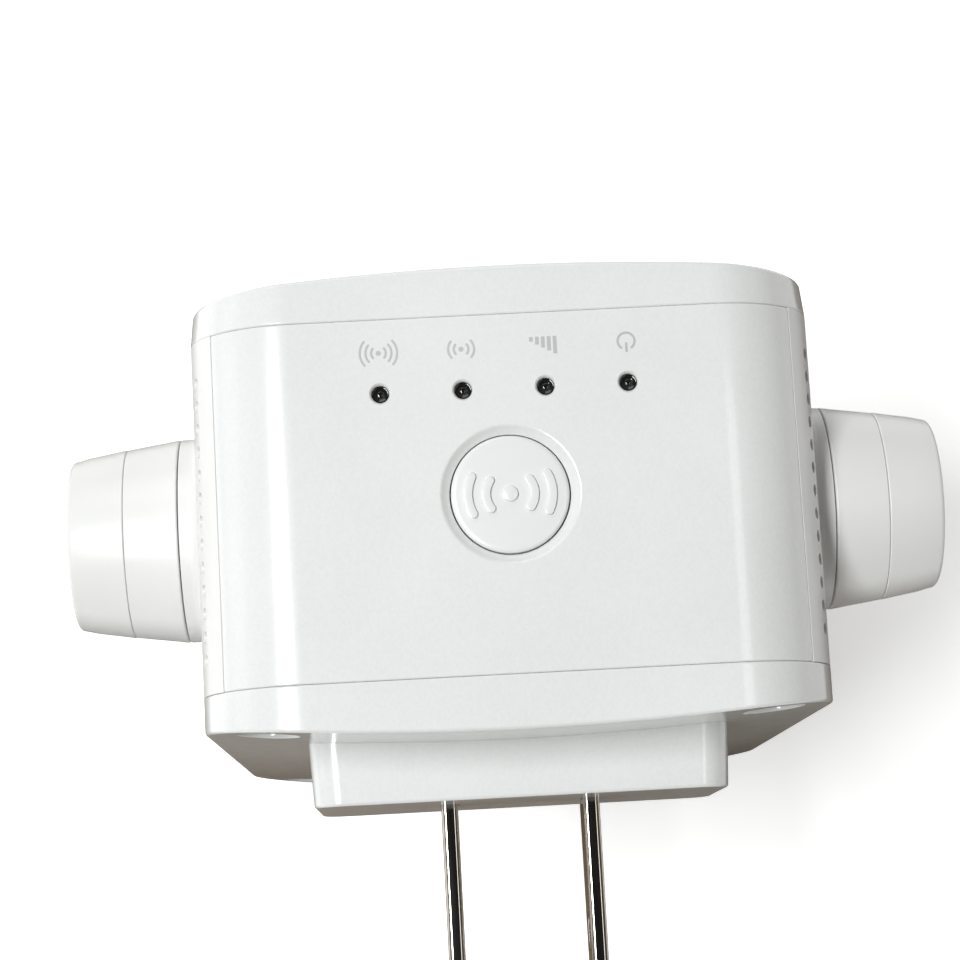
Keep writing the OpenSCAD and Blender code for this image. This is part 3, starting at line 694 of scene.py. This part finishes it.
def half_shell(x0, x1, r0, r1, edge0, edge1, crown=0.0):
    """Rows (x, hub radius) from x0 to x1 with rounded edges and, if asked, a crowned end."""
    rows = []
    for u, v in arc_steps(4):
        rows.append((x0 + edge0 * u, r0 - edge0 * (1 - v)))
    for t in (0.33, 0.66):
        rows.append((x0 + (x1 - x0) * t, r0 + (r1 - r0) * t))
    for u, v in reversed(arc_steps(8 if edge1 > 0.3 else 4)):
        rows.append((x1 - crown - edge1 * u, r1 - edge1 * (1 - v)))
    if crown:
        for k in range(1, 5):
            rows.append((x1 - crown + crown * (1 - (1 - k / 5) ** 2),
                         (r1 - edge1) - CROWN_STEP * k))
    return rows


for side, word in ((-1, "left"), (1, "right")):
    inner = paddle(half_shell(IN_X, SPLIT_X - SPLIT_GAP, HUB, HUB_MID, 0.22, 0.13))
    shaft = lathe([(2.2, 21.0), (3.9, 21.0), (4.0, 21.1), (4.0, 23.5), (3.4, 23.5), (3.4, 24.6),
                   (4.0, 24.6), (4.0, 29.5), (2.2, 29.5), (2.2, 21.0)], (0, 0, 0), "x", 64)
    outer = paddle(half_shell(SPLIT_X + SPLIT_GAP, OUT_X, HUB_MID, HUB_OUT, 0.13, 0.5, 0.1))
    for half, (verts, faces) in (("inner", join(inner, shaft)), ("outer", outer)):
        node = f"{word}_antenna_{half}"
        weighted(piece(f"{node}_shell", place_antenna(side, verts), faces, f"{word}_antenna",
                       SATIN_WHITE, [node], 50))


# ---- stage, lights and camera ------------------------------------------------------------


def one_sided(material):
    """Lets the surface be seen from its front only, so that views from below look through it."""
    nodes, links = material.node_tree.nodes, material.node_tree.links
    shader = find_node(material, "BSDF_PRINCIPLED")
    output = find_node(material, "OUTPUT_MATERIAL")
    clear = nodes.new("ShaderNodeBsdfTransparent")
    side = nodes.new("ShaderNodeNewGeometry")
    mix = nodes.new("ShaderNodeMixShader")
    links.new(side.outputs["Backfacing"], mix.inputs["Fac"])
    links.new(shader.outputs["BSDF"], mix.inputs[1])
    links.new(clear.outputs["BSDF"], mix.inputs[2])
    links.new(mix.outputs["Shader"], output.inputs["Surface"])


def flat_sheet(name, x0, x1, y0, y1, z, material):
    """A level sheet between two X and two Y values, seen from above only."""
    mesh = bpy.data.meshes.new(name)
    mesh.from_pydata([(x0, y0, z), (x1, y0, z), (x1, y1, z), (x0, y1, z)], [], [(0, 1, 2, 3)])
    obj = bpy.data.objects.new(name, mesh)
    bpy.context.scene.collection.objects.link(obj)
    one_sided(material)
    mesh.materials.append(material)
    return obj


FLOOR_HALF, FLOOR_Z, CARD_Z = 3.0, -0.0585, -0.0575
FLOOR_GLOW = 0.5
LIGHT_TARGET = (0, -0.02, 0)


def floor():
    """A pale floor with a faint glow that isn't sampled as a lamp."""
    material = moulded("floor_white", (0.96, 0.96, 0.96), 0.8)
    shader = find_node(material, "BSDF_PRINCIPLED")
    shader.inputs["Emission Color"].default_value = (1, 1, 1, 1)
    shader.inputs["Emission Strength"].default_value = FLOOR_GLOW
    material.cycles.emission_sampling = "NONE"
    obj = flat_sheet("floor", -FLOOR_HALF, FLOOR_HALF, -FLOOR_HALF, FLOOR_HALF, FLOOR_Z, material)


floor()


def area(name, at, size, power, colour=(1, 1, 1)):
    """A rectangular lamp that faces the part, with its place and size in metres."""
    light = bpy.data.lights.new(name, "AREA")
    light.shape = "RECTANGLE"
    light.size, light.size_y = size
    light.energy = power
    light.color = colour
    obj = bpy.data.objects.new(name, light)
    obj.location = at
    aim = Vector(LIGHT_TARGET) - Vector(at)
    obj.rotation_euler = aim.to_track_quat("-Z", "Y").to_euler()
    bpy.context.scene.collection.objects.link(obj)


area("key", (0.215, 0.01, 0.57), (0.3, 0.12), 3.65, (0.985, 1.0, 0.995))
area("fill", (-0.2, 0.0, 0.58), (0.3, 0.1), 0.25)
area("left", (0.62, -0.22, 0.16), (0.52, 0.25), 0.25)
area("front", (0.16, -0.62, 0.40), (0.5, 0.3), 0.8)


def world_light():
    """Bright low surroundings, dark overhead and a little browner towards -X and the wall."""
    world = bpy.data.worlds.new("studio")
    bpy.context.scene.world = world
    world.use_nodes = True
    nodes, links = world.node_tree.nodes, world.node_tree.links
    back = nodes["Background"]
    coords = nodes.new("ShaderNodeTexCoord")
    split = nodes.new("ShaderNodeSeparateXYZ")
    links.new(coords.outputs["Generated"], split.inputs["Vector"])
    zenith = ramp(nodes, links, split.outputs["Z"],
                  ((0.45, (0.9, 0.9, 0.89)), (0.62, (0.25,) * 3), (0.86, (0.2,) * 3),
                   (0.965, (0.02,) * 3)))
    away = nodes.new("ShaderNodeVectorMath")
    away.operation = "DOT_PRODUCT"
    away.inputs[1].default_value = (-0.8, 0.6, 0.0)
    links.new(coords.outputs["Generated"], away.inputs[0])
    dim = ramp(nodes, links, away.outputs["Value"],
               ((0.1, (1.0,) * 3), (0.65, (0.62, 0.56, 0.47))))
    both = nodes.new("ShaderNodeMix")
    both.data_type = "RGBA"
    both.blend_type = "MULTIPLY"
    both.inputs["Factor"].default_value = 1.0
    links.new(zenith.outputs["Color"], both.inputs[6])
    links.new(dim.outputs["Color"], both.inputs[7])
    links.new(both.outputs[2], back.inputs["Color"])
    back.inputs["Strength"].default_value = 0.33


world_light()


def table_card():
    """A dark table top that the camera doesn't see, for reflections and bounce light only."""
    material, nodes, links, shader, coords = base_material("table_brown")
    grain = noise(nodes, links, coords, 25, 5)
    tone = ramp(nodes, links, grain.outputs["Fac"],
                ((0.35, (0.09, 0.058, 0.028)), (0.65, (0.14, 0.095, 0.05))))
    links.new(tone.outputs["Color"], shader.inputs["Base Color"])
    shader.inputs["Roughness"].default_value = 0.6
    obj = flat_sheet("table_card", -0.11, 0.09, -0.09, 0.08, CARD_Z, material)
    obj.visible_camera = False
    obj.visible_shadow = False


table_card()

# Untilted, the camera looks straight down with -X to the right and the wall side at the bottom.
# The rows of turn are its right, down and forward directions.
EYE = Vector((7.6248, 11.3037, 252.2201)) * MM
TILT = (-0.1614, -0.0221, -0.0509)
SENSOR, LENS = 36.0, 103.747125
turn = (Matrix.Rotation(TILT[2], 3, "Z") @ Matrix.Rotation(TILT[1], 3, "Y")
        @ Matrix.Rotation(TILT[0], 3, "X") @ Matrix.Diagonal((-1, 1, -1)))
lens_data = bpy.data.cameras.new("camera")
lens_data.sensor_width = SENSOR
lens_data.lens = LENS
lens_data.clip_start = 0.01
camera = bpy.data.objects.new("camera", lens_data)
axes = Matrix((turn[0], -turn[1], -turn[2])).transposed()
camera.matrix_world = Matrix.Translation(EYE) @ axes.to_4x4()
bpy.context.scene.collection.objects.link(camera)
bpy.context.scene.camera = camera
# The default view transform flattens whites, so the plain one is used.
bpy.context.scene.view_settings.view_transform = "Standard"
